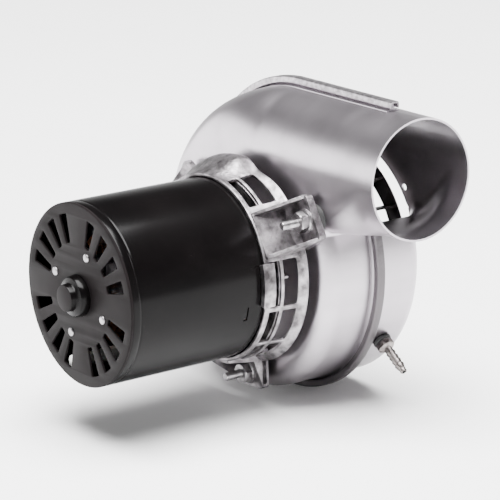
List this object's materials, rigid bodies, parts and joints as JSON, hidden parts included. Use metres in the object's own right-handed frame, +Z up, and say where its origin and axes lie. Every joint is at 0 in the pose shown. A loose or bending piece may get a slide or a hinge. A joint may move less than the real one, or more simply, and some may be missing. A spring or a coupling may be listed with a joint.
{
  "type": "combustion fan",
  "caption": "Draft-inducing centrifugal fan: vented motor and ventilated collar on a sheet-metal scroll with a clamped seam, round outlet and pressure tap.",
  "frame": {"origin": "centre of the inlet opening, on the scroll's rear mounting face", "axes": "+Y along the shaft, from the motor out through the inlet opening; +X along the outlet, away from the scroll; +Z up"},
  "size_m": [0.1659, 0.162, 0.1503],
  "materials": {
    "steel_sheet": "satin, aluminised",
    "steel_strip": "satin",
    "zinc": "zinc plated",
    "ground_steel": "ground",
    "cast_aluminium": "as cast, machined edges",
    "black_enamel": "gloss",
    "grey_enamel": "satin",
    "dark_rubber": "matt",
    "seal_fibre": "matt",
    "bronze": "sintered",
    "felt": "oiled",
    "lamination": "stacked sheets",
    "copper_wire": "enamelled wire",
    "white_plastic": "moulded",
    "black_plastic": "moulded",
    "black_oxide": "black oxide"
  },
  "bodies": {
    "root": {"front_scroll_shell": "steel_sheet", "rear_scroll_shell": "steel_sheet", "seam_clamp_strip": "steel_strip", "mounting_studs": "zinc", "stud_spacers": "dark_rubber", "lock_nuts": "zinc", "motor_mount_collar": "cast_aluminium", "shaft_seal": "seal_fibre", "seal_retainer": "steel_strip", "seal_rivets": "zinc", "pressure_tap": "zinc", "tap_grommet": "dark_rubber", "motor_shell": "black_enamel", "vented_end_plate": "grey_enamel", "end_plate_rivets": "zinc", "rear_bearing_bracket": "steel_strip", "rear_bearing": "bronze", "rear_oil_felt": "felt", "front_bearing": "bronze", "front_oil_felt": "felt", "front_bearing_retainer": "steel_strip", "retainer_screws": "zinc", "stator_core": "lamination", "stator_windings": "copper_wire", "slot_liners": "white_plastic", "thermal_protector": "white_plastic", "lead_grommet": "dark_rubber"},
    "rotor": {"shaft": "ground_steel", "rotor_core": "lamination", "rotor_end_rings": "cast_aluminium", "thrust_washers": "black_plastic", "cooling_fan": "cast_aluminium", "fan_clip": "ground_steel", "impeller_hub": "ground_steel", "impeller_back_plate": "steel_sheet", "impeller_blades": "steel_sheet", "impeller_inlet_ring": "steel_sheet", "hub_set_screw": "black_oxide"}
  },
  "joints": [
    {"name": "rotor_spin", "type": "hinge", "parent": "root", "child": "rotor", "pos_m": [0, 0, 0], "axis": [0, 1, 0], "continuous": true}
  ]
}
